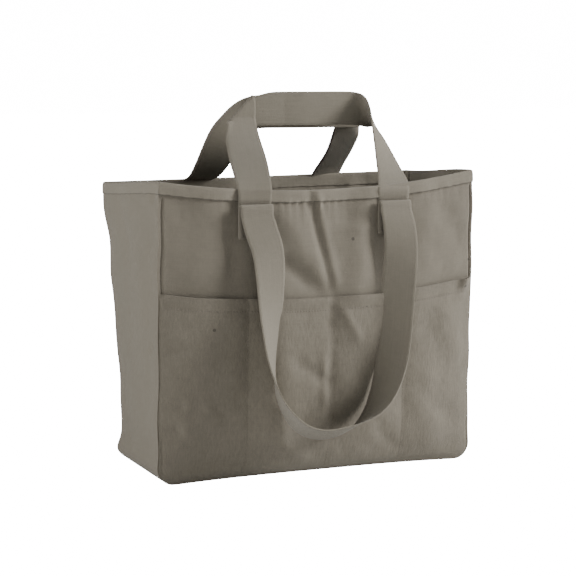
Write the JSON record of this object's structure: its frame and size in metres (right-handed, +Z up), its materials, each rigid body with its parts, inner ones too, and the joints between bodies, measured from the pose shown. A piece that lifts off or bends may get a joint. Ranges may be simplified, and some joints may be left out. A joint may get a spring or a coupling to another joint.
{
  "type": "garden tool bag",
  "caption": "Unlined box-shaped canvas tote for garden tools, with patch pockets along the front, a bound rim, short hand handles and long shoulder straps on both long sides.",
  "frame": {"origin": "on the floor, under the middle of the bag's base", "axes": "+Z up, +X along the bag's width, -Y towards the front with the pockets"},
  "size_m": [0.4028, 0.2936, 0.446],
  "materials": {
    "canvas": "matte plain-weave cotton canvas",
    "binding_tape": "matte twill tape",
    "strap_ribbon": "matte folded canvas ribbon, edge-stitched",
    "thread": "matte cotton-wrapped thread"
  },
  "bodies": {
    "bag": {"front_panel": "canvas", "back_panel": "canvas", "side_and_base_strip": "canvas", "front_seam_binding": "binding_tape", "back_seam_binding": "binding_tape", "rim_binding": "binding_tape", "front_pocket_panel": "canvas", "pocket_divider_stitching": "thread", "pocket_hem_stitching": "thread", "rim_stitching": "thread", "front_seam_stitching": "thread", "back_seam_stitching": "thread", "front_left_handle_end": "strap_ribbon", "front_left_strap_end": "strap_ribbon", "front_right_handle_end": "strap_ribbon", "front_right_strap_end": "strap_ribbon", "front_anchor_stitching": "thread", "back_left_handle_end": "strap_ribbon", "back_left_strap_end": "strap_ribbon", "back_right_handle_end": "strap_ribbon", "back_right_strap_end": "strap_ribbon", "back_anchor_stitching": "thread"},
    "front_handle": {"front_handle": "strap_ribbon", "front_handle_stitching": "thread"},
    "front_strap": {"front_strap": "strap_ribbon", "front_strap_stitching": "thread"},
    "back_handle": {"back_handle": "strap_ribbon", "back_handle_stitching": "thread"},
    "back_strap": {"back_strap": "strap_ribbon", "back_strap_stitching": "thread"}
  },
  "joints": [
    {"name": "front_handle_swing", "type": "hinge", "parent": "bag", "child": "front_handle", "pos_m": [0, -0.0968, 0.3446], "axis": [1, 0, 0], "range_deg": [0, 42.1]},
    {"name": "front_strap_swing", "type": "hinge", "parent": "bag", "child": "front_strap", "pos_m": [0, -0.1011, 0.318], "axis": [-1, 0, 0], "range_deg": [0, 165]},
    {"name": "back_handle_swing", "type": "hinge", "parent": "bag", "child": "back_handle", "pos_m": [0, 0.0968, 0.3446], "axis": [-1, 0, 0], "range_deg": [0, 42.1]},
    {"name": "back_strap_swing", "type": "hinge", "parent": "bag", "child": "back_strap", "pos_m": [0, 0.1011, 0.318], "axis": [1, 0, 0], "range_deg": [0, 165]}
  ]
}
